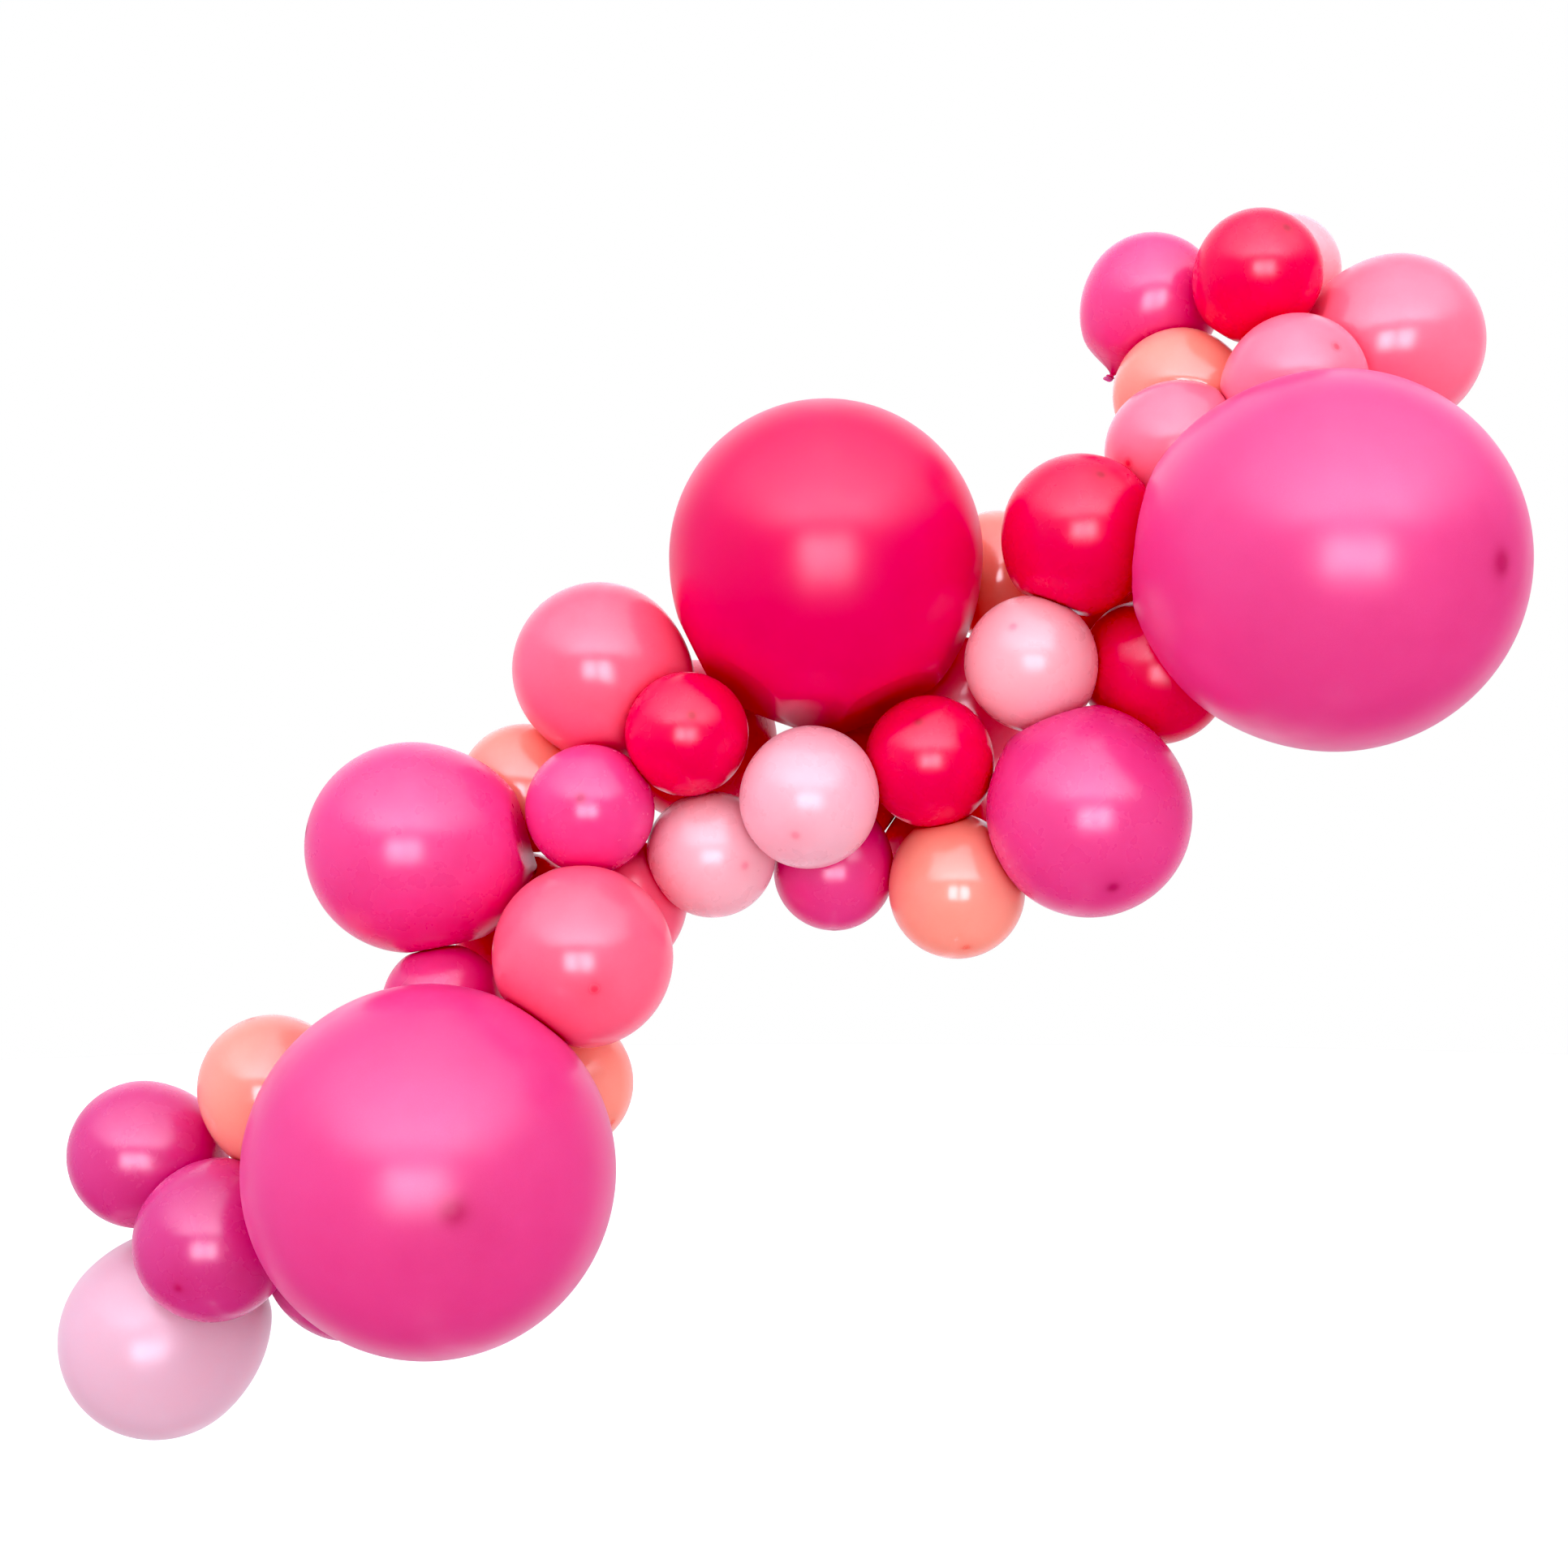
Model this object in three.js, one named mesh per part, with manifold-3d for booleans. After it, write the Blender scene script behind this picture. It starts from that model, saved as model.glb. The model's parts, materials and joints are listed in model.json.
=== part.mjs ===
// A balloon garland, about two metres long, made of sealed latex balloons in three nominal sizes.
// Units are millimetres, +Z is up, and the front of the garland faces -Y.
// The origin is the upper tie, where the garland is tied to its hook.
//
// Necks are knotted together in small clusters. A cluster has one tie point, and each of its
// balloons leaves the tie in its own direction, tip outwards:
//   clock  degrees round a clock face seen from the front, 0 = up, 90 = to the right
//   lean   degrees out of that face, towards the front where positive
// Where two balloons press on each other, both are flat against the plane between them.

import * as THREE from 'three';
import { mergeVertices } from 'three/addons/utils/BufferGeometryUtils.js';
import Module from 'manifold-3d';

const wasm = await Module();
wasm.setup();

// Nominal sizes: neck length and radius below the knot, how far the body runs towards the neck as
// a share of its radius, and facets round the body
const SMALL = { neckLength: 10, neckRadius: 3.5, neckHalf: 1.2, facets: 12 };
const MEDIUM = { neckLength: 15, neckRadius: 5, neckHalf: 1.2, facets: 16 };
const LARGE = { neckLength: 20, neckRadius: 8, neckHalf: 1.16, facets: 20 };

// Latex colours
const CRIMSON = { color: 0xf00050, roughness: 0.3 };
const MAGENTA = { color: 0xd8388c, roughness: 0.35 };
const ROSE = { color: 0xff6088, roughness: 0.35 };
const CORAL = { color: 0xff9c88, roughness: 0.35 };
const BLUSH = { color: 0xf4b0c8, roughness: 0.4 };

// The rolled lip's radius as a share of the neck's, and how far the lip stops short of its tie
const LIP_FLARE = 1.8;
const TIE_SLACK = 5;

// Clearance between balloons that press together
const CONTACT_GAP = 0.3;

// The garland's upper tie, in the frame that the clusters below are placed in
const UPPER_TIE = new THREE.Vector3(443, 88, 456);

// Each balloon: name, latex, nominal size, width when blown up, clock, lean
const clusters = [
  { tie: [-520, 38, -451], balloons: [
    ['medium_blush_tail', BLUSH, MEDIUM, 196, 225, 10],
    ['tail_magenta_back', MAGENTA, SMALL, 142, 105, 19],
  ] },
  { tie: [-517, 8, -391], balloons: [
    ['tail_magenta_front', MAGENTA, SMALL, 150, 210, 61],
  ] },
  { tie: [-470, -22, -390], balloons: [
    ['tail_coral', CORAL, SMALL, 142, 345, 8],
  ] },
  { tie: [-531, 10, -381], balloons: [
    ['tail_magenta_left', MAGENTA, SMALL, 144, 280, 5],
  ] },
  { tie: [-381, 48, -340], balloons: [
    ['giant_magenta_left', MAGENTA, LARGE, 342, 105, 75],
  ] },
  { tie: [-285, 25, -240], balloons: [
    ['lower_magenta', MAGENTA, SMALL, 118, 302, 53],
    ['lower_coral', CORAL, SMALL, 136, 126, 26],
  ] },
  { tie: [-212, 0, -130], balloons: [
    ['lower_rose', ROSE, SMALL, 170, 145, 70],
  ] },
  { tie: [-224, -5, -85], balloons: [
    ['medium_magenta_left', MAGENTA, MEDIUM, 204, 280, 15],
  ] },
  { tie: [-224, -2, -96], balloons: [
    ['left_crimson_back', CRIMSON, SMALL, 130, 230, -49],
  ] },
  { tie: [-115, 35, -55], balloons: [
    ['middle_blush_left', BLUSH, SMALL, 122, 106, 57],
    ['left_rose_back', ROSE, SMALL, 122, 213, 25],
  ] },
  { tie: [-180, 25, -40], balloons: [
    ['left_magenta_front', MAGENTA, SMALL, 124, 340, 79],
    ['left_coral', CORAL, SMALL, 126, 295, -13],
  ] },
  { tie: [-102, 12, 25], balloons: [
    ['left_rose', ROSE, SMALL, 172, 318, 5],
    ['middle_crimson_left', CRIMSON, SMALL, 118, 22, 73],
    ['middle_crimson_back', CRIMSON, SMALL, 165, 31, -78],
  ] },
  { tie: [41, 0, 20], balloons: [
    ['giant_crimson', CRIMSON, LARGE, 308, 0, 0],
  ] },
  { tie: [42, -14, 34], balloons: [
    ['middle_blush_front', BLUSH, SMALL, 132, 201, 57],
  ] },
  { tie: [49, 10, 0], balloons: [
    ['middle_magenta', MAGENTA, SMALL, 118, 180, 10],
    ['middle_crimson_low', CRIMSON, SMALL, 140, 65, -79],
  ] },
  { tie: [158, 15, -27], balloons: [
    ['middle_crimson_right', CRIMSON, SMALL, 124, 340, 53],
    ['middle_coral', CORAL, SMALL, 132, 173, 36],
    ['right_crimson_low', CRIMSON, SMALL, 130, 168, -69],
  ] },
  { tie: [270, 10, 63], balloons: [
    ['medium_magenta_right', MAGENTA, MEDIUM, 194, 168, 46],
  ] },
  { tie: [268, 16, 73], balloons: [
    ['right_blush', BLUSH, SMALL, 128, 325, 54],
  ] },
  { tie: [245, 23, 75], balloons: [
    ['right_rose_back', ROSE, SMALL, 146, 272, -45],
  ] },
  { tie: [290, 20, 150], balloons: [
    ['right_crimson', CRIMSON, SMALL, 138, 120, 30],
    ['right_crimson_back', CRIMSON, SMALL, 120, 75, -37],
  ] },
  { tie: [266, 18, 174], balloons: [
    ['right_crimson_front', CRIMSON, SMALL, 150, 15, 48],
  ] },
  { tie: [262, 32, 195], balloons: [
    ['right_coral', CORAL, SMALL, 132, 294, -60],
  ] },
  { tie: [358, 18, 222], balloons: [
    ['giant_magenta_right', MAGENTA, LARGE, 352, 96, 48],
  ] },
  { tie: [458, 45, 345], balloons: [
    ['upper_rose_left', ROSE, SMALL, 140, 254, 38],
    ['upper_rose_front', ROSE, SMALL, 140, 43, 56],
  ] },
  { tie: [466, 25, 336], balloons: [
    ['upper_coral', CORAL, SMALL, 134, 309, -23],
  ] },
  { tie: UPPER_TIE.toArray(), balloons: [
    ['top_crimson', CRIMSON, SMALL, 126, 28, 52],
  ] },
  { tie: [331, 118, 408], balloons: [
    ['top_magenta', MAGENTA, SMALL, 140, 28, 0],
  ] },
  { tie: [501, 28, 404], balloons: [
    ['top_rose', ROSE, SMALL, 175, 71, -10],
  ] },
  { tie: [474, 85, 457], balloons: [
    ['top_blush_back', BLUSH, SMALL, 116, 29, -20],
  ] },
];

// How far the middle of a balloon's body is from its tie.
function reach(size, radius) {
  return TIE_SLACK + size.neckLength + size.neckHalf * radius;
}

// A balloon turned round +Y with its tie at the origin: flared lip, neck, then the body to its tip.
// The facets' corners stand a little outside the round body, as far as their flats fall inside it.
function balloonGeometry(size, radius) {
  const middle = reach(size, radius);
  const rings = size.facets / 2;
  const corner = (2 * radius) / (1 + Math.cos(Math.PI / size.facets));
  const profile = [
    new THREE.Vector2(0, TIE_SLACK),
    new THREE.Vector2(LIP_FLARE * size.neckRadius, TIE_SLACK),
    new THREE.Vector2(size.neckRadius, TIE_SLACK + size.neckLength / 2),
  ];
  for (let ring = 1; ring < rings; ring += 1) {
    const angle = (Math.PI * ring) / rings;
    const halfLength = ring < rings / 2 ? size.neckHalf * corner : corner;
    profile.push(new THREE.Vector2(corner * Math.sin(angle), middle - halfLength * Math.cos(angle)));
  }
  profile.push(new THREE.Vector2(0, middle + corner));
  return new THREE.LatheGeometry(profile, size.facets);
}

// Unit vector from the tie to the tip.
function outward(clock, lean) {
  const clockAngle = THREE.MathUtils.degToRad(clock);
  const leanAngle = THREE.MathUtils.degToRad(lean);
  return new THREE.Vector3(
    Math.sin(clockAngle) * Math.cos(leanAngle),
    -Math.sin(leanAngle),
    Math.cos(clockAngle) * Math.cos(leanAngle),
  );
}

function toSolid(geometry, matrix) {
  const bare = geometry.clone().applyMatrix4(matrix);
  bare.deleteAttribute('normal');
  bare.deleteAttribute('uv');
  const merged = mergeVertices(bare);
  return new wasm.Manifold(new wasm.Mesh({
    numProp: 3,
    vertProperties: new Float32Array(merged.attributes.position.array),
    triVerts: new Uint32Array(merged.index.array),
  }));
}

function toGeometry(solid, matrix) {
  const mesh = solid.getMesh();
  const geometry = new THREE.BufferGeometry();
  geometry.setAttribute('position', new THREE.BufferAttribute(mesh.vertProperties, 3));
  geometry.setIndex(new THREE.BufferAttribute(mesh.triVerts, 1));
  geometry.applyMatrix4(matrix);
  geometry.computeVertexNormals();
  return geometry;
}

// Cuts a balloon back to the plane that it shares with a neighbour pressing on it. The plane is
// where the two round bodies would cross, so neither balloon reaches past it.
function pressAgainst(solid, own, other) {
  const away = own.centre.clone().sub(other.centre);
  const distance = away.length();
  away.divideScalar(distance);
  const toPlane = (distance ** 2 + own.radius ** 2 - other.radius ** 2) / (2 * distance);
  const offset = own.centre.dot(away) - toPlane + CONTACT_GAP / 2;
  return solid.trimByPlane(away.toArray(), offset);
}

const garland = new THREE.Group();
garland.position.copy(UPPER_TIE).negate();

const balloons = [];
for (const cluster of clusters) {
  const tie = new THREE.Group();
  tie.position.fromArray(cluster.tie);
  garland.add(tie);
  for (const [name, latex, size, width, clock, lean] of cluster.balloons) {
    const radius = width / 2;
    const direction = outward(clock, lean);
    const material = new THREE.MeshStandardMaterial({ ...latex, metalness: 0 });
    const mesh = new THREE.Mesh(balloonGeometry(size, radius), material);
    mesh.name = name;
    mesh.quaternion.setFromUnitVectors(THREE.Object3D.DEFAULT_UP, direction);
    tie.add(mesh);
    const centre = tie.position.clone().addScaledVector(direction, reach(size, radius));
    balloons.push({ mesh, radius, centre: centre.sub(UPPER_TIE) });
  }
}

// The pressing is worked out with every balloon in place, and then taken back to its own mesh.
garland.updateMatrixWorld(true);
for (const own of balloons) {
  let solid = toSolid(own.mesh.geometry, own.mesh.matrixWorld);
  for (const other of balloons) {
    if (other !== own) {
      solid = pressAgainst(solid, own, other);
    }
  }
  own.mesh.geometry = toGeometry(solid, own.mesh.matrixWorld.clone().invert());
}

export default garland;
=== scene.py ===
"""A hanging garland of blown latex balloons.

Every balloon is made again around its solid in the frame. Its round middle, its size and the way
its tip points are read back from the solid's corners. Then it is spun from a profile, pressed flat
against its neighbours, and finished as stretched latex with a rolled lip, a knot and a tip.
"""

import json
import math

import bmesh
import bpy
import numpy as np
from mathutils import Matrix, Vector


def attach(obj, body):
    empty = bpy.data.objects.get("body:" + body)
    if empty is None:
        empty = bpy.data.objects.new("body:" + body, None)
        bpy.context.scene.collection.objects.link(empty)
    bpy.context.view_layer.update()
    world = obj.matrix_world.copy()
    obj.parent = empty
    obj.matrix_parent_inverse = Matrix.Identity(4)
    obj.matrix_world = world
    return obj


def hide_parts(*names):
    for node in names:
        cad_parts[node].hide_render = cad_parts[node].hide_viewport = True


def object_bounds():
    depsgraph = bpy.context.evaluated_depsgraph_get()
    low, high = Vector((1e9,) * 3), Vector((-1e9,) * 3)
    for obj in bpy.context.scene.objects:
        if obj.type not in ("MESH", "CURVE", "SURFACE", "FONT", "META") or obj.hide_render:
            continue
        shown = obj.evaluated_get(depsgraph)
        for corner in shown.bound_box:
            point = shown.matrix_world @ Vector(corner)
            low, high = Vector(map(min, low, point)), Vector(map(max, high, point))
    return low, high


MM = 0.001

# Nominal sizes. The neck runs from the lip to the body, below_middle is how far the body reaches
# towards its neck as a share of its radius, and facets is how many sides the solid has.
SMALL = {"neck_length": 10 * MM, "neck_radius": 3.5 * MM, "below_middle": 1.2, "facets": 12,
         "around": 96, "ring_degrees": 3.0, "tip_spot": 4.0 * MM}
MEDIUM = {"neck_length": 15 * MM, "neck_radius": 5 * MM, "below_middle": 1.2, "facets": 16,
          "around": 128, "ring_degrees": 2.5, "tip_spot": 6.0 * MM}
LARGE = {"neck_length": 20 * MM, "neck_radius": 8 * MM, "below_middle": 1.16, "facets": 20,
         "around": 160, "ring_degrees": 2.0, "tip_spot": 12.0 * MM}

TIE_SLACK = 5 * MM        # from a tie to the lips that are knotted to it
LIP_FLARE = 1.8           # the rolled lip's radius as a share of the neck's
CONTACT_GAP = 0.3 * MM    # between two balloons that press together
SMALLEST_RADIUS, GIANT_RADIUS = 50 * MM, 170 * MM

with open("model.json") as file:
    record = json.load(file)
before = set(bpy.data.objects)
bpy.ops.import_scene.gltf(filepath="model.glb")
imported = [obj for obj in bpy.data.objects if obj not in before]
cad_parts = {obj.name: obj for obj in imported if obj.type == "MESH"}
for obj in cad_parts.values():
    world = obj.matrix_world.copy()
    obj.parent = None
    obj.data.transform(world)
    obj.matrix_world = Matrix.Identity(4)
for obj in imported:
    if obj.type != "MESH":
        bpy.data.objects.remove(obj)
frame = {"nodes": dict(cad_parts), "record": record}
cad_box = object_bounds()


def size_of(name):
    """The nominal size that a balloon was blown from, by the first word of its name."""
    return {"giant": LARGE, "medium": MEDIUM}.get(name.split("_")[0], SMALL)


# --- reading a balloon back from its solid ---

SAME_CORNER = 0.002 * MM  # corners closer than this are one
ON_SPHERE = 0.02 * MM     # a corner this close to the sphere lies on it
NO_SPAN = 0.01            # four corners that span less than this share of a box lie in a plane
CLEAR_ANGLE = 0.1         # the sine between two edges that give a clear direction
WHOLE_STEP = 0.01         # an angle this close to a whole number of facets is one


def round_body(points, quads):
    """Centre, radius and corners of the sphere that most corners lie on. Each quad suggests one."""
    four = points[quads]
    rows = 2 * (four[:, 1:] - four[:, :1])
    gaps = (four[:, 1:] ** 2).sum(2) - (four[:, :1] ** 2).sum(2)
    flat = np.abs(np.linalg.det(rows)) < NO_SPAN * np.linalg.norm(rows, axis=2).prod(1)
    centres = np.linalg.solve(rows[~flat], gaps[~flat][..., None])[..., 0]
    radii = np.linalg.norm(four[~flat][:, 0] - centres, axis=1)
    off = np.linalg.norm(points[None] - centres[:, None], axis=2) - radii[:, None]
    on_it = (np.abs(off) < ON_SPHERE) & (radii[:, None] > SMALLEST_RADIUS)
    corners = on_it[on_it.sum(1).argmax()]
    ball = points[corners]
    fit = np.linalg.lstsq(np.c_[2 * ball, np.ones(len(ball))], (ball ** 2).sum(1), rcond=None)[0]
    return fit[:3], math.sqrt(fit[3] + fit[:3] @ fit[:3]), corners


def tip_direction(spokes, edges, facets):
    """Direction of the tip: from there every corner of the round half lies whole facets away."""
    first, second = np.triu_indices(len(edges), 1)
    axes = np.cross(edges[first], edges[second])
    lengths = np.linalg.norm(axes, axis=1)
    clear = lengths > CLEAR_ANGLE
    axes = axes[clear] / lengths[clear, None]
    axes = np.concatenate([axes, -axes])
    steps = np.degrees(np.arccos(np.clip(axes @ spokes.T, -1, 1))) * facets / 360
    fits = (np.abs(steps - steps.round()) < WHOLE_STEP) & (steps < facets / 4 + WHOLE_STEP)
    return axes[fits.sum(1).argmax()]


def read_balloon(name):
    """What a balloon is made from: its nominal size, middle, radius, direction and tie."""
    size = size_of(name)
    solid = bmesh.new()
    solid.from_mesh(frame["nodes"][name].data)
    bmesh.ops.remove_doubles(solid, verts=solid.verts, dist=SAME_CORNER)
    solid.verts.index_update()
    points = np.array([v.co for v in solid.verts])
    ends = np.array([[v.index for v in e.verts] for e in solid.edges])
    quads = [sorted({v.index for f in e.link_faces for v in f.verts}) for e in solid.edges]
    solid.free()
    quads = np.array([quad for quad in quads if len(quad) == 4])
    middle, corner_radius, round_half = round_body(points, quads)
    spokes = (points[round_half] - middle) / corner_radius
    edges = points[ends[round_half[ends].all(1)]]
    edges = edges[:, 0] - edges[:, 1]
    edges = edges / np.linalg.norm(edges, axis=1)[:, None]
    direction = tip_direction(spokes, edges, size["facets"])
    radius = corner_radius * (1 + math.cos(math.pi / size["facets"])) / 2
    reach = TIE_SLACK + size["neck_length"] + size["below_middle"] * radius
    return {"name": name, "size": size, "middle": middle, "radius": radius, "direction": direction,
            "tie": middle - direction * reach, "reach": reach}


# --- making a balloon ---

SHOULDER_DEGREES = 40     # where the body leaves its round form to narrow into the neck
LIP_BEAD = 0.2            # the rolled bead's own radius, as a share of the neck's
PINCH = 0.62              # the neck either side of the knot, as a share of the neck's radius
KNOT_BULGE = 0.72         # how far the knot stands out of the pinch, same share
KNOT_START, KNOT_END = 0.30, 0.66    # along the neck, from the lip
TIP_STEPS = (3.2, 2.4, 1.8, 1.35, 1.0, 0.7, 0.45, 0.22, 0.0)    # rings round the tip, in tip spots
PRESSED_EDGE = 0.3        # softness of the edge round a flat, as a share of how deep the flat is
WIDEST_EDGE = 0.035       # and at most this share of the radius
SHARPEST_EDGE = 0.2 * MM  # and never less than this
SEAM = 0.01 * MM          # where the spun mesh closes on itself
NUB = 0.06                # how far the tip stands up, in tip spots
THICK_NECK, NECK_FADE = 0.55, 2.2    # where the neck's thick latex ends, in radii, and how fast
HALO, HALO_WIDTH = 0.22, 4.5         # the weaker ring round the tip, and its width in tip spots
KNOT_LUMP, PLEATS, FINE_PLEATS = 0.24, 0.10, 0.05    # how deep each is, as a share of the radius
LIP_OVAL, LIP_WAVE = 0.07, 0.12      # how far the lip is out of round, and waves along the neck
PLEATS_END = 0.42         # where the pleats above the knot fade out, in radii of the balloon
SWELLS, SWELL_PITCH, SWELL_HEIGHT = 6, 2.4, 0.006


def rolled_lip(size):
    """The open end: a shallow mouth, the bead that the lip is rolled into, and the tail above."""
    bead = LIP_BEAD * size["neck_radius"]
    lip = LIP_FLARE * size["neck_radius"] - bead
    turn = np.radians(np.linspace(170, 470, 11))
    roll = np.c_[lip + bead * np.cos(turn), TIE_SLACK + bead + bead * np.sin(turn)]
    mouth = [(0, TIE_SLACK + 2.6 * bead), (0.5 * lip, TIE_SLACK + 2.2 * bead)]
    tail = [(0.78 * lip, TIE_SLACK + 2.5 * bead),
            (0.52 * lip, TIE_SLACK + 0.24 * size["neck_length"])]
    return np.concatenate([mouth, roll, tail])


def knot(size):
    """The overhand knot: a bulge between two pinches."""
    share = np.linspace(0, 1, 11)
    height = TIE_SLACK + (KNOT_START + (KNOT_END - KNOT_START) * share) * size["neck_length"]
    out = PINCH + KNOT_BULGE * np.sin(math.pi * share) ** 0.8
    return np.c_[size["neck_radius"] * out, height]


def shoulder(start, size, radius, middle):
    """A smooth run from the top of the knot out to the round body."""
    turn = math.radians(SHOULDER_DEGREES)
    below = size["below_middle"] * radius * math.cos(turn)
    end = np.array([radius * math.sin(turn), middle - below])
    heading = np.array([math.cos(turn), size["below_middle"] * math.sin(turn)])
    length = np.linalg.norm(end - start)
    leaving = np.array([0, 0.45 * length])
    arriving = heading / np.linalg.norm(heading) * length
    t = np.linspace(0, 1, 16)[1:-1, None]
    return ((1 + 2 * t) * (1 - t) ** 2 * start + t * (1 - t) ** 2 * leaving
            + t ** 2 * (3 - 2 * t) * end + t ** 2 * (t - 1) * arriving)


def body(size, radius, middle):
    """The round body from its shoulder to its tip, where the thick latex stands up as a nub."""
    spot = math.degrees(size["tip_spot"] / radius)
    turns = np.arange(SHOULDER_DEGREES, 179 - TIP_STEPS[0] * spot, size["ring_degrees"])
    turns = np.radians(np.concatenate([turns, 180 - spot * np.array(TIP_STEPS)]))
    reach = np.where(turns < math.pi / 2, size["below_middle"], 1.0) * radius
    nub = NUB * size["tip_spot"] * np.exp(-((math.pi - turns) * radius / size["tip_spot"]) ** 2 * 2)
    return np.c_[radius * np.sin(turns), middle - reach * np.cos(turns) + nub]


def thickness(profile, size, radius):
    """How far each ring is from the tip, and how thick its latex is: 1 where it isn't stretched, 0
    where it is thinnest."""
    steps = np.linalg.norm(np.diff(profile, axis=0), axis=1)
    from_tip = np.append(steps[::-1].cumsum()[::-1], 0)
    neck = np.clip(1 - profile[:, 0] / (THICK_NECK * radius), 0, 1) ** NECK_FADE
    neck[from_tip < radius] = 0
    tip = np.exp(-(from_tip / size["tip_spot"]) ** 2)
    halo = HALO * np.exp(-(from_tip / (HALO_WIDTH * size["tip_spot"])) ** 2)
    return from_tip, np.clip(neck + tip + halo, 0, 1)


def spun(balloon):
    """The balloon's mesh, still round and standing on its tie, with how its latex is stretched."""
    size, radius, middle = balloon["size"], balloon["radius"], balloon["reach"]
    tied = knot(size)
    profile = np.concatenate([rolled_lip(size), tied, shoulder(tied[-1], size, radius, middle),
                              body(size, radius, middle)])
    profile[-1, 0] = 0
    bm = bmesh.new()
    from_tip = bm.verts.layers.float.new("from_tip")
    thick = bm.verts.layers.float.new("thick")
    line = [bm.verts.new((out, 0, up)) for out, up in profile]
    for vert, distance, amount in zip(line, *thickness(profile, size, radius)):
        vert[from_tip] = distance
        vert[thick] = amount
    edges = [bm.edges.new(pair) for pair in zip(line, line[1:])]
    bmesh.ops.spin(bm, geom=line + edges, cent=(0, 0, 0), axis=(0, 0, 1), angle=2 * math.pi,
                   steps=size["around"], use_merge=True)
    bmesh.ops.remove_doubles(bm, verts=bm.verts, dist=SEAM)
    bmesh.ops.recalc_face_normals(bm, faces=bm.faces)
    mesh = bpy.data.meshes.new(balloon["name"] + "_balloon")
    bm.to_mesh(mesh)
    bm.free()
    mesh.shade_smooth()
    return mesh


def gathered(points, size, radius, draw):
    """Twists the knot, pleats the neck above it and lets the lip wave."""
    turn = np.arctan2(points[:, 1], points[:, 0])
    along = (points[:, 2] - TIE_SLACK) / size["neck_length"]
    wrap = np.clip((along - KNOT_START) / (KNOT_END - KNOT_START), 0, 1)
    in_knot = np.sin(math.pi * wrap)
    start = draw.uniform(0, 2 * math.pi)
    above = (points[:, 2] - TIE_SLACK) / (PLEATS_END * radius)
    pleat = np.clip(along / KNOT_END, 0, 1) * np.clip(1 - above, 0, 1)
    lip = np.clip(1 - along / KNOT_START, 0, 1)
    out = (1 + KNOT_LUMP * in_knot * np.cos(turn - 2.4 * math.pi * wrap + start)
           + PLEATS * pleat ** 2 * np.cos(9 * turn + 5 * wrap + start)
           + FINE_PLEATS * pleat ** 2 * np.cos(14 * turn - 3 * wrap)
           + LIP_OVAL * lip * np.cos(2 * turn + start))
    moved = points.copy()
    moved[:, :2] *= out[:, None]
    moved[:, 2] += LIP_WAVE * size["neck_radius"] * lip * np.sin(3 * turn + start)
    return moved


def uneven(points, middle, draw):
    """Latex never blows up quite evenly: slow swells over the body, a few tenths of a percent."""
    spokes = points - middle
    directions = spokes / np.linalg.norm(spokes, axis=1)[:, None]
    waves = draw.normal(size=(SWELLS, 3)) * SWELL_PITCH
    swell = np.sin(directions @ waves.T + draw.uniform(0, 2 * math.pi, SWELLS)).mean(1)
    return middle + spokes * (1 + SWELL_HEIGHT * swell)[:, None]


def neighbours_of(own, balloons):
    """For each other balloon: the direction to it, and how far away the plane shared with it is."""
    for other in balloons:
        if other is not own:
            across = other["middle"] - own["middle"]
            distance = np.linalg.norm(across)
            to_plane = (distance ** 2 + own["radius"] ** 2 - other["radius"] ** 2) / (2 * distance)
            yield across / distance, to_plane - CONTACT_GAP / 2


def pressed(points, own, balloons):
    """Flattens a balloon against its neighbours. The skin leaves each flat with a soft edge."""
    planes = list(neighbours_of(own, balloons))
    for across, to_plane in planes:
        soft = PRESSED_EDGE * (own["radius"] - to_plane)
        soft = min(max(soft, SHARPEST_EDGE), WIDEST_EDGE * own["radius"])
        beyond = (points - own["middle"]) @ across - to_plane
        points = points - np.outer(soft * np.logaddexp(0, beyond / soft), across)
    for across, to_plane in planes:
        beyond = (points - own["middle"]) @ across - to_plane
        points = points - np.outer(np.maximum(beyond, 0), across)
    return points


def whole_balloon(mesh, layer, value):
    """Gives every corner of a balloon the same value, for its latex to read."""
    values = mesh.attributes.new(layer, "FLOAT", "POINT").data
    values.foreach_set("value", np.full(len(values), value))


def make_balloon(own, balloons, draw, latex):
    """One finished balloon in its place, standing for its solid."""
    mesh = spun(own)
    points = np.array([v.co for v in mesh.vertices])
    points = gathered(points, own["size"], own["radius"], draw)
    points = uneven(points, np.array([0, 0, own["reach"]]), draw)
    turned = Vector((0, 0, 1)).rotation_difference(Vector(own["direction"])).to_matrix()
    points = points @ np.array(turned).T + own["tie"]
    points = pressed(points, own, balloons)
    mesh.vertices.foreach_set("co", points.ravel())
    mesh.update()
    satin = (own["radius"] - SMALLEST_RADIUS) / (GIANT_RADIUS - SMALLEST_RADIUS)
    # The cool mix is partly painted cool light and painted shade, not only a batch of latex
    whole_balloon(mesh, "batch_and_cool_light", COOL_BATCH_AND_LIGHT.get(own["name"], USUAL_BATCH_AND_LIGHT))
    whole_balloon(mesh, "rougher", GIANT_ROUGHER * satin)
    mesh.materials.append(latex)
    piece = bpy.data.objects.new(mesh.name, mesh)
    bpy.context.scene.collection.objects.link(piece)
    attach(piece, "root")
    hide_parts(own["name"])
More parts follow.
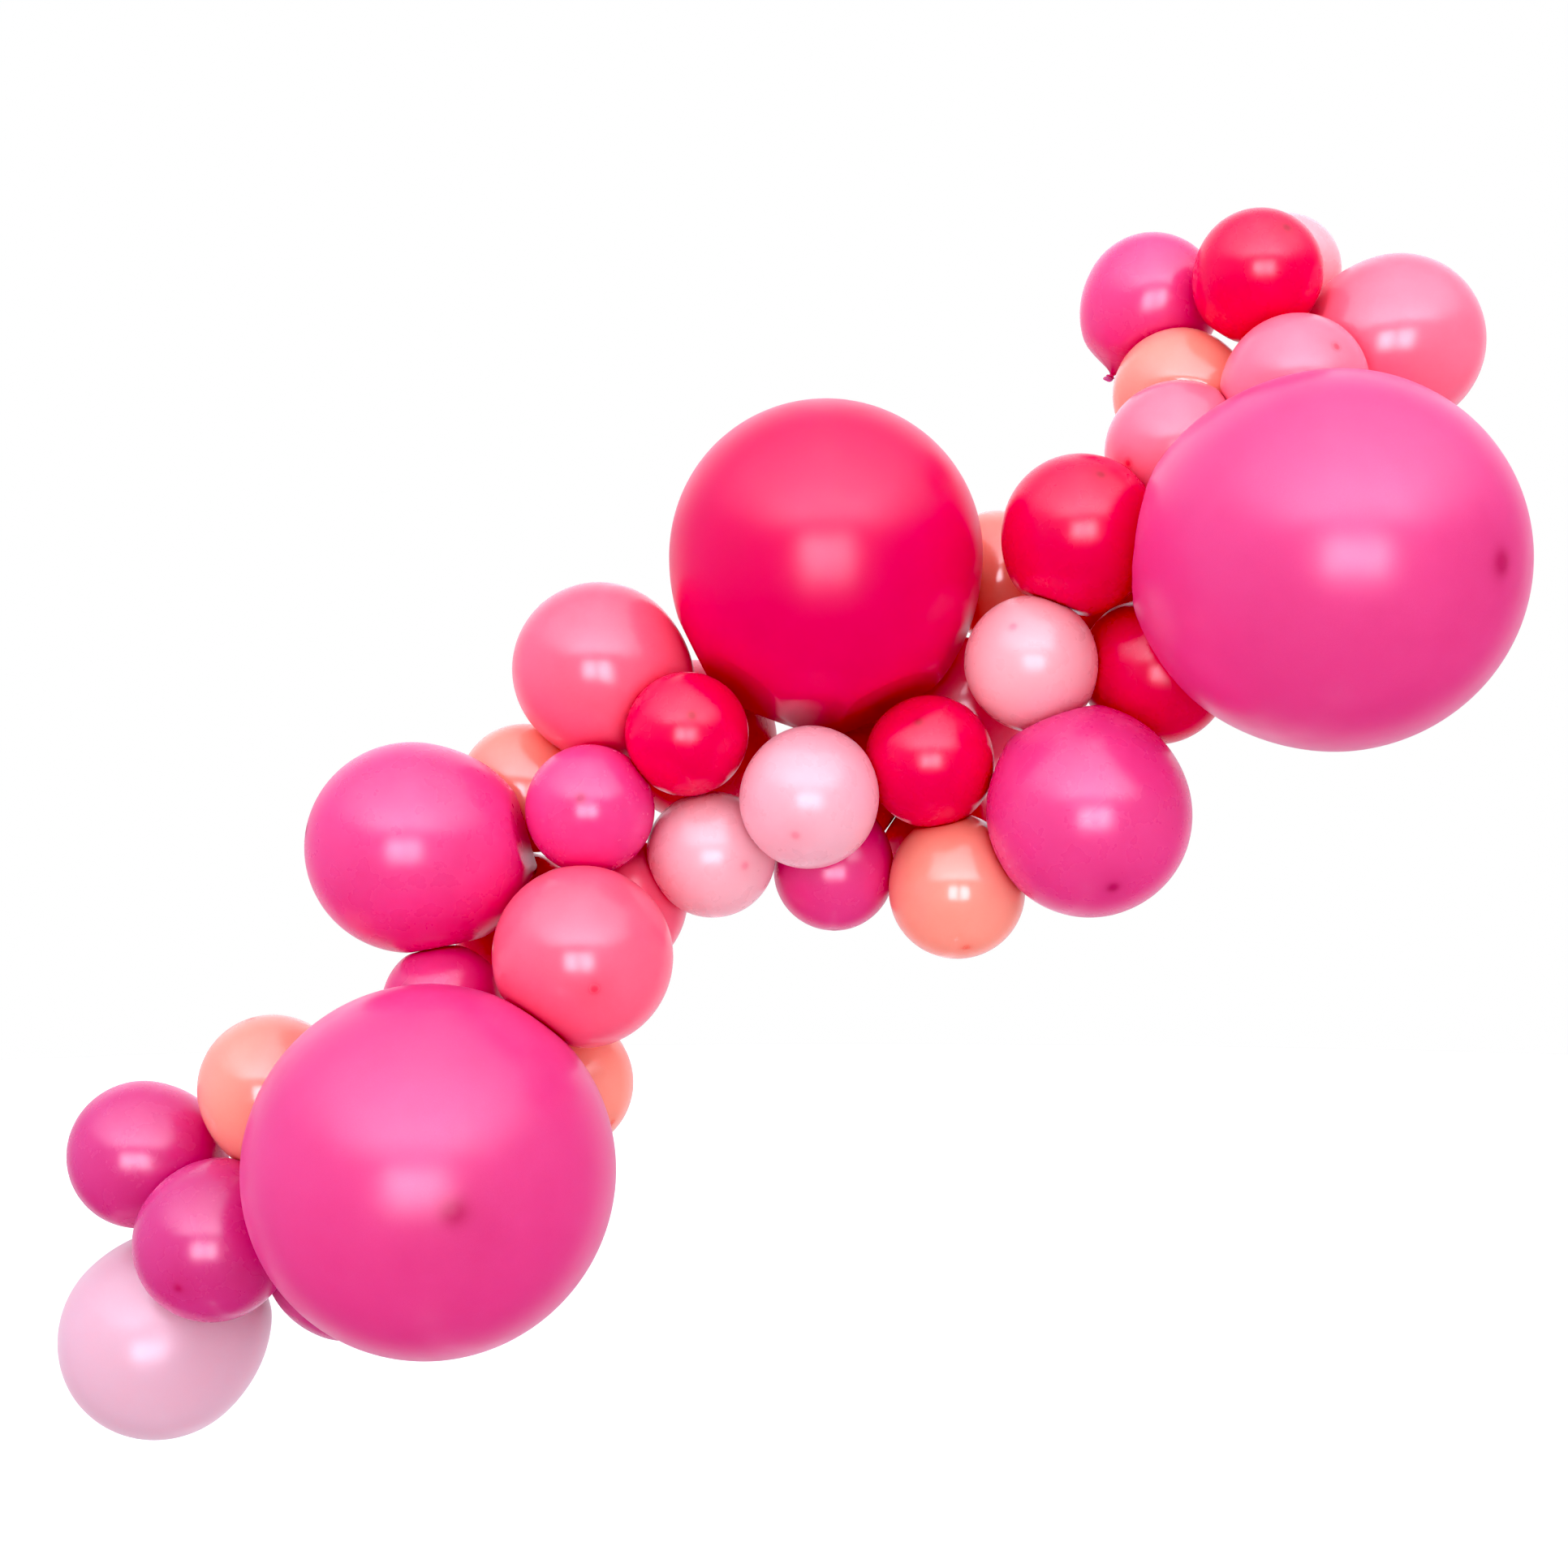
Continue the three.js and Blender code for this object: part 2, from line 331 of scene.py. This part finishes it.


# --- latex ---

# Each latex: its colour where it is stretched thin, warm and cool. The cool colour is partly a
# cooler, darker batch of latex and partly painted cool light and painted shade. Then its colour at
# the neck and tip where it is thick, the pale bloom on its skin, how rough it is, and how strongly
# it mirrors.
LATEXES = {
    "crimson_latex": {
        "warm": (0.78, 0.000, 0.064), "cool": (0.72, 0.000, 0.090),
        "thick": (0.46, 0.000, 0.020), "bloom": (1.0, 0.04, 0.18),
        "roughness": 0.26, "mirror": 0.40},
    "magenta_latex": {
        "warm": (0.86, 0.060, 0.255), "cool": (0.61, 0.042, 0.215),
        "thick": (0.50, 0.004, 0.100), "bloom": (1.0, 0.22, 0.50),
        "roughness": 0.25, "mirror": 0.50},
    "rose_latex": {
        "warm": (1.00, 0.115, 0.205), "cool": (1.00, 0.220, 0.330),
        "thick": (0.85, 0.035, 0.090), "bloom": (1.0, 0.40, 0.50),
        "roughness": 0.20, "mirror": 0.50},
    "coral_latex": {
        "warm": (1.00, 0.325, 0.235), "cool": (0.97, 0.340, 0.300),
        "thick": (0.92, 0.160, 0.110), "bloom": (1.0, 0.60, 0.55),
        "roughness": 0.17, "mirror": 0.50},
    "blush_latex": {
        "warm": (1.00, 0.450, 0.480), "cool": (0.73, 0.430, 0.530),
        "thick": (0.88, 0.260, 0.330), "bloom": (1.0, 0.75, 0.82),
        "roughness": 0.27, "mirror": 0.50},
}

# How cool a balloon's colour is, from 0 to 1, where it isn't the usual one: partly a cooler batch,
# partly painted cool light and painted shade on balloons where the light falls cooler and dimmer
USUAL_BATCH_AND_LIGHT = 0.2
COOL_BATCH_AND_LIGHT = {
    "medium_blush_tail": 1.0, "tail_magenta_back": 1.0, "tail_magenta_front": 1.0,
    "tail_magenta_left": 0.9, "giant_magenta_left": 0.5, "giant_magenta_right": 0.4,
    "medium_magenta_left": 0.3, "medium_magenta_right": 0.35, "middle_magenta": 0.4,
    "giant_crimson": 1.0, "middle_blush_front": 0.55, "middle_blush_left": 0.4,
    "top_rose": 0.7, "upper_rose_front": 0.9, "upper_rose_left": 0.9,
}

GIANT_ROUGHER = 0.06      # a giant's skin is stretched less, and is that much rougher
THICK_ROUGHER = 0.12      # and so is latex that isn't stretched at all

# Scales of the noise in the latex. Only the rings are measured from the tip.
CLOUDS, DUST, DUSTY_PATCHES, ROUGH_PATCHES = 22, 900, 30, 45
RINGS, RINGED_PATCHES, GRAIN = 260, 14, 1400
MOST_DUST = 0.05          # how much of its bloom the dustiest latex shows
RING_HEIGHT, GRAIN_HEIGHT = 0.03 * MM, 0.004 * MM


class Nodes:
    """Adds nodes to one tree. A socket is given a constant, or another node's output."""

    def __init__(self, tree):
        self.tree = tree
        tree.nodes.clear()

    def add(self, kind, inputs=None, **settings):
        node = self.tree.nodes.new("ShaderNode" + kind)
        for name, value in settings.items():
            setattr(node, name, value)
        for socket, value in (inputs or {}).items():
            if isinstance(value, bpy.types.NodeSocket):
                self.tree.links.new(value, node.inputs[socket])
            else:
                node.inputs[socket].default_value = value
        return node

    def math(self, operation, first, second=0.0, clamp=False):
        node = self.add("Math", {0: first, 1: second}, operation=operation, use_clamp=clamp)
        return node.outputs[0]

    def spread(self, value, low, high, start=0.3, end=0.7):
        """Takes the range start to end, where noise mostly lies, to the range low to high."""
        node = self.add("MapRange", {"Value": value, "From Min": start, "From Max": end,
                                     "To Min": low, "To Max": high})
        return node.outputs["Result"]

    def blend(self, amount, first, second):
        node = self.add("Mix", {"Factor": amount}, data_type="RGBA")
        for socket, value in ((6, first), (7, second)):
            if isinstance(value, bpy.types.NodeSocket):
                self.tree.links.new(value, node.inputs[socket])
            else:
                node.inputs[socket].default_value = (*value, 1)
        return node.outputs[2]

    def noise(self, where, scale, detail=2.0):
        node = self.add("TexNoise", {"Vector": where, "Scale": scale, "Detail": detail})
        return node.outputs["Fac"]


def latex_finish(name, warm, cool, thick, bloom, roughness, mirror):
    """Blown latex: deeper where it is thick, cloudy where it is thin, with a dusty bloom."""
    material = bpy.data.materials.new(name)
    material.use_nodes = True
    n = Nodes(material.node_tree)
    place = n.add("TexCoord").outputs["Object"]
    stretch, from_tip, batch_and_cool_light, rougher = (
        n.add("Attribute", attribute_name=layer).outputs["Fac"]
        for layer in ("thick", "from_tip", "batch_and_cool_light", "rougher"))

    clouds = n.noise(place, CLOUDS, 3)
    amount = n.math("ADD", stretch, n.spread(clouds, -0.05, 0.07), clamp=True)
    # The warm to cool mix is partly a batch of latex and partly painted cool light and painted
    # shade
    colour = n.blend(amount, n.blend(batch_and_cool_light, warm, cool), thick)
    dust = n.math("MULTIPLY", n.spread(n.noise(place, DUST), 0, MOST_DUST),
                  n.spread(n.noise(place, DUSTY_PATCHES), 0.2, 1))
    colour = n.blend(dust, colour, bloom)

    patches = n.spread(n.noise(place, ROUGH_PATCHES, 4), roughness - 0.02, roughness + 0.03)
    rough = n.math("ADD", rougher, patches)
    rough = n.math("ADD", rough, n.math("MULTIPLY", stretch, THICK_ROUGHER))

    # Faint rings round the tip, left by the dipping, which show only here and there
    rings = n.add("TexNoise", {"W": n.math("ADD", from_tip, n.math("MULTIPLY", clouds, 0.001)),
                               "Scale": RINGS, "Detail": 1}, noise_dimensions="1D").outputs["Fac"]
    rings = n.math("MULTIPLY", rings, n.spread(n.noise(place, RINGED_PATCHES), 0, 1))
    ripple = n.add("Bump", {"Height": rings, "Strength": 0.5, "Distance": RING_HEIGHT})
    grain = n.add("Bump", {"Height": n.noise(place, GRAIN), "Strength": 0.3,
                           "Distance": GRAIN_HEIGHT, "Normal": ripple.outputs["Normal"]})
    shader = n.add("BsdfPrincipled", {
        "Base Color": colour, "Roughness": rough, "Normal": grain.outputs["Normal"],
        "IOR": 1.52, "Specular IOR Level": mirror, "Subsurface Weight": 0.5,
        "Subsurface Radius": (1.0, 0.35, 0.35), "Subsurface Scale": 40 * MM,
        "Sheen Weight": 0.02, "Sheen Roughness": 0.35, "Sheen Tint": (1, 0.85, 0.9, 1)})
    n.add("OutputMaterial", {"Surface": shader.outputs[0]})
    return material


# --- the room: floor, lights and camera ---

HANG_HEIGHT = 2.1         # the upper tie above the floor
CAMERA_DISTANCE = 2.6     # in front of the plane that the garland hangs in
HANGING_PLANE = -88 * MM
LENS, SENSOR = 60.8, 36.0
AIM_FROM_BOX_MIDDLE = Vector((7 * MM, 0, 30 * MM))
CEILING_HEIGHT, WINDOWS_AWAY = 1.3, 3.4    # metres from the garland
CEILING_LIGHT, WINDOW_LIGHT, WALL_LIGHT = 8.5, 15.0, 0.7
CEILING_TINT = (0.90, 0.93, 1.08)
BLACK_LEVEL = 0.02        # a little contrast, so that the deep colours stay clear

# Where each part of the mirrored room comes up or fades out, in metres from the garland
CEILING_COMES_UP, CEILING_ENDS, CEILING_SIDES = (-0.5, 3.0), (3.2, 3.5), (1.2, 3.4)
BOARDS, BOARD_CONTRAST, BOARDS_FADE = 22, 0.45, (1.0, 2.2)
WINDOW_POST, WINDOW_SIDE = (0.08, 0.16), (0.95, 1.15)
WINDOW_SILL, WINDOW_HEAD = (-0.85, -0.70), (0.45, 0.60)
WALL_SIDES, WALL_FOOT = (0.5, 3.6), (-2.4, -0.2)
LEVEL = 0.02              # directions flatter than this count as this steep

# The even light from below, from above and from the front, and the dim room that the skin mirrors
# below, above, at the left and behind
EVEN_BELOW, EVEN_ABOVE, EVEN_FRONT = (0.55, 0.48, 0.52), (1.60, 1.60, 1.76), (1.7, 1.7, 1.8)
DIM_BELOW, DIM_ABOVE = (0.02, 0.00, 0.01), (0.22, 0.22, 0.30)
DIM_LEFT, DIM_BEHIND = (0.50, 0.50, 0.85), (0.80, 0.76, 0.84)

FLOOR_RADIUS = 14
FLOOR_GREYS = (0.86, 0.86, 0.86), (0.88, 0.88, 0.88)


def make_floor():
    bm = bmesh.new()
    bmesh.ops.create_circle(bm, cap_ends=True, radius=FLOOR_RADIUS, segments=96)
    bmesh.ops.translate(bm, verts=bm.verts, vec=(0, 0, -HANG_HEIGHT))
    mesh = bpy.data.meshes.new("floor")
    bm.to_mesh(mesh)
    bm.free()
    material = bpy.data.materials.new("pale_floor")
    material.use_nodes = True
    n = Nodes(material.node_tree)
    place = n.add("TexCoord").outputs["Object"]
    colour = n.blend(n.spread(n.noise(place, 3), 0, 1), *FLOOR_GREYS)
    shader = n.add("BsdfPrincipled", {"Base Color": colour, "Roughness": 0.8,
                                      "Emission Color": (1, 1, 1, 1), "Emission Strength": 0.10})
    n.add("OutputMaterial", {"Surface": shader.outputs[0]})
    mesh.materials.append(material)
    floor = bpy.data.objects.new("floor", mesh)
    bpy.context.scene.collection.objects.link(floor)
    floor.visible_diffuse = False
    floor.visible_glossy = False


def room_light(n, way):
    """How bright the room is that the skin mirrors: a ceiling, brightest by the windows, the two
    windows under its far edge, and the wall that they are in."""
    up = n.math("MAXIMUM", way["Z"], LEVEL)
    ahead = n.math("MULTIPLY", way["Y"], -1)
    out = n.math("MULTIPLY", n.math("DIVIDE", ahead, up), CEILING_HEIGHT)
    across = n.math("ABSOLUTE", n.math("MULTIPLY", n.math("DIVIDE", way["X"], up), CEILING_HEIGHT))
    ceiling = n.math("MULTIPLY", n.spread(out, 0.06, 1, *CEILING_COMES_UP),
                     n.spread(out, 1, 0, *CEILING_ENDS))
    ceiling = n.math("MULTIPLY", ceiling, n.spread(across, 1, 0, *CEILING_SIDES))
    boards = n.math("SINE", n.math("MULTIPLY", out, BOARDS))
    boards = n.math("MULTIPLY", boards, n.spread(out, BOARD_CONTRAST, 0, *BOARDS_FADE))
    ceiling = n.math("MULTIPLY", ceiling, n.math("ADD", boards, 1))

    ahead = n.math("MAXIMUM", ahead, LEVEL)
    aside = n.math("ABSOLUTE", n.math("MULTIPLY", n.math("DIVIDE", way["X"], ahead), WINDOWS_AWAY))
    high = n.math("MULTIPLY", n.math("DIVIDE", way["Z"], ahead), WINDOWS_AWAY)
    window = n.math("MULTIPLY", n.spread(aside, 0, 1, *WINDOW_POST),
                    n.spread(aside, 1, 0, *WINDOW_SIDE))
    window = n.math("MULTIPLY", window, n.spread(high, 0, 1, *WINDOW_SILL))
    window = n.math("MULTIPLY", window, n.spread(high, 1, 0, *WINDOW_HEAD))
    wall = n.math("MULTIPLY", n.spread(aside, 1, 0, *WALL_SIDES), n.spread(high, 0, 1, *WALL_FOOT))
    light = n.math("ADD", n.math("MULTIPLY", ceiling, CEILING_LIGHT),
                   n.math("MULTIPLY", window, WINDOW_LIGHT))
    return n.math("ADD", light, n.math("MULTIPLY", wall, WALL_LIGHT))


def light_room():
    """An even light for the matt side of the skin, a room with a ceiling and two windows for it to
    mirror, and plain white for the camera to see."""
    world = bpy.data.worlds.new("white_room")
    world.use_nodes = True
    world.cycles.sampling_method = "NONE"
    n = Nodes(world.node_tree)
    way = n.add("SeparateXYZ", {"Vector": n.add("TexCoord").outputs["Generated"]}).outputs
    near = n.spread(way["Y"], 0.5, 0, -1, 1)
    even = n.blend(n.spread(way["Z"], 0, 1, -1, 1), EVEN_BELOW, EVEN_ABOVE)
    even = n.blend(near, even, EVEN_FRONT)

    dim = n.blend(n.spread(way["Z"], 0, 1, -0.8, 0.8), DIM_BELOW, DIM_ABOVE)
    at_left = n.math("MULTIPLY", n.spread(way["X"], 1, 0, -0.95, -0.5),
                     n.spread(way["Z"], 0, 1, -0.7, 0.1))
    dim = n.blend(at_left, dim, DIM_LEFT)
    dim = n.blend(n.spread(way["Y"], 0, 1, 0.45, 0.75), dim, DIM_BEHIND)
    light = room_light(n, way)
    lit = n.add("Background", {"Color": (*CEILING_TINT, 1), "Strength": light}).outputs[0]
    even, dim, white = (n.add("Background", {"Color": colour}).outputs[0]
                        for colour in (even, dim, (1, 1, 1, 1)))
    mirrored = n.add("AddShader", {0: dim, 1: lit}).outputs[0]
    path = n.add("LightPath").outputs
    shown = n.add("MixShader", {0: path["Is Glossy Ray"], 1: even, 2: mirrored}).outputs[0]
    shown = n.add("MixShader", {0: path["Is Camera Ray"], 1: shown, 2: white}).outputs[0]
    n.add("OutputWorld", {"Surface": shown})
    bpy.context.scene.world = world


def place_camera(middle):
    data = bpy.data.cameras.new("camera")
    data.lens, data.sensor_width = LENS, SENSOR
    camera = bpy.data.objects.new("camera", data)
    aim = middle + AIM_FROM_BOX_MIDDLE
    camera.location = (aim.x, HANGING_PLANE - CAMERA_DISTANCE, aim.z)
    camera.rotation_euler = (math.pi / 2, 0, 0)
    bpy.context.scene.collection.objects.link(camera)
    bpy.context.scene.camera = camera


box_middle = (cad_box[0] + cad_box[1]) / 2
place_camera(box_middle)
light_room()
make_floor()
view = bpy.context.scene.view_settings
view.view_transform = "Standard"
view.use_curve_mapping = True
view.curve_mapping.black_level = (BLACK_LEVEL,) * 3

finishes = {slot: latex_finish(slot, **values) for slot, values in LATEXES.items()}
slots = {part["node"]: part["material_slot"] for part in frame["record"]["subparts"]}
blown = [read_balloon(name) for name in sorted(frame["nodes"])]
for order, balloon in enumerate(blown):
    slot = slots[balloon["name"]]
    make_balloon(balloon, blown, np.random.default_rng(order), finishes[slot])
